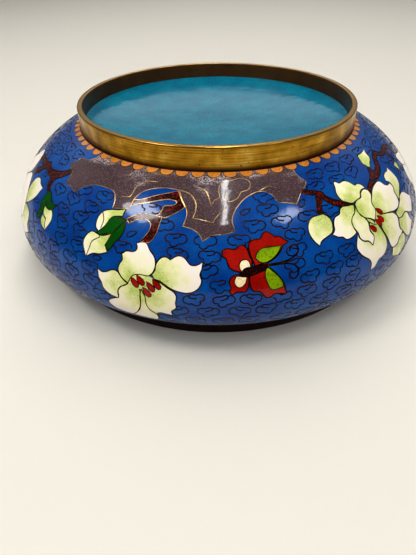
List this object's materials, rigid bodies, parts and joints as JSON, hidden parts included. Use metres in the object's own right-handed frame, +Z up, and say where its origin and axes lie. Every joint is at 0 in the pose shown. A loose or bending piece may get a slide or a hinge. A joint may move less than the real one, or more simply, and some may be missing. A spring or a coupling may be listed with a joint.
{
  "type": "cloisonne bowl",
  "caption": "Squat round cloisonne bowl lying mouth down: blue enamel with magnolia sprays, a butterfly and clouds, a brass foot ring and a turquoise base.",
  "frame": {"origin": "centre of the circle that the bowl lies on, mouth down as the picture shows it", "axes": "+Z up along the bowl's axis, from the mouth to the foot ring, -Y towards the side with the butterfly, +X to the right of it"},
  "size_m": [0.19, 0.19, 0.067],
  "materials": {
    "blue_enamel": "deep blue fused glass enamel, polished flush with its brass wires",
    "aged_brass": "satin brass gone amber with age, brighter on the worn edge",
    "darkened_copper": "copper alloy darkened to a maroon black",
    "turquoise_enamel": "glossy turquoise enamel of the base and the inside",
    "flower_enamel": "pinkish white enamel of the magnolia petals, yellow green at their foot",
    "red_enamel": "red enamel of the butterfly and the stamens",
    "green_enamel": "deep green enamel of the bud scales",
    "ochre_enamel": "ochre orange enamel of the scallops beside the foot ring",
    "branch_enamel": "purple brown enamel of the trunk and the twigs",
    "gilt_wire": "thin brass wires that part the enamels, dull brown where no light catches them"
  },
  "bodies": {
    "root": {"bowl_body": "blue_enamel", "foot_ring": "aged_brass", "mouth_rim": "darkened_copper"}
  },
  "joints": []
}
